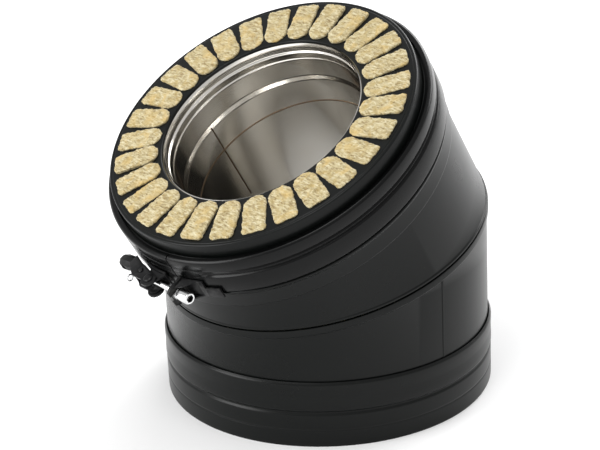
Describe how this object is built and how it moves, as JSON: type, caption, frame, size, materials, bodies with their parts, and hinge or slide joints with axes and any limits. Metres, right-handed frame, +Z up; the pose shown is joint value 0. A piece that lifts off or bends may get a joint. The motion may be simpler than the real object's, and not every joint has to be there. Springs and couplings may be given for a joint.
{
  "type": "flue elbow",
  "caption": "Insulated twin-wall flue elbow, mitred at thirty degrees, with a slotted end plate, liner socket and lever locking band.",
  "frame": {"origin": "middle of the bounding box's underside, on the floor plane under the skirt", "axes": "+Z up along the lower leg; the upper leg leans towards -X; the locking band's closure is on the -X side; +Y completes the right hand"},
  "size_m": [0.2998, 0.2586, 0.2885],
  "materials": {
    "black_enamel": "satin black enamel",
    "black_hardware": "black coated steel",
    "grip": "moulded black",
    "stainless": "bright rolled stainless steel",
    "zinc": "bright zinc plate",
    "wool": "compressed mineral wool"
  },
  "bodies": {
    "elbow": {"lower_collar": "black_enamel", "lower_casing": "black_enamel", "upper_casing": "black_enamel", "upper_collar": "black_enamel", "lower_end_plate": "black_enamel", "upper_end_plate": "black_enamel", "lower_liner": "stainless", "upper_liner": "stainless", "liner_socket": "stainless", "lower_insulation": "wool", "upper_insulation": "wool"},
    "band": {"locking_band": "black_enamel", "lever_bracket": "black_hardware", "catch_bracket": "black_hardware", "upper_pivot_rivet": "black_hardware", "lower_pivot_rivet": "black_hardware"},
    "lever": {"lever": "black_hardware", "lever_grip": "grip"},
    "rod": {"rod_trunnion": "black_hardware", "tie_rod": "zinc", "nut_washer": "zinc"},
    "nut": {"barrel_nut": "zinc"},
    "clip": {"safety_clip": "zinc"}
  },
  "joints": [
    {"name": "band_turn", "type": "hinge", "parent": "elbow", "child": "band", "pos_m": [0.02244, 0, 0.122], "axis": [-0.5, 0, 0.866], "continuous": true},
    {"name": "lever_swing", "type": "hinge", "parent": "band", "child": "lever", "pos_m": [-0.14068, 0.01273, 0.12643], "axis": [-0.5, 0, 0.866], "range_deg": [0, 100]},
    {"name": "rod_swing", "type": "hinge", "parent": "lever", "child": "rod", "pos_m": [-0.13737, 0.02449, 0.12835], "axis": [-0.5, 0, 0.866], "range_deg": [-105, 0]},
    {"name": "nut_turn", "type": "hinge", "parent": "rod", "child": "nut", "pos_m": [-0.14019, -0.02219, 0.12672], "axis": [-0.0604, -0.9976, -0.0349], "continuous": true},
    {"name": "clip_slide", "type": "slide", "parent": "lever", "child": "clip", "axis": [-0.8639, 0.0698, -0.4988], "range_m": [0, 0.01]}
  ],
  "couplings": [
    {"joint": "rod_swing", "follows": "lever_swing", "ratio": -1.04}
  ]
}
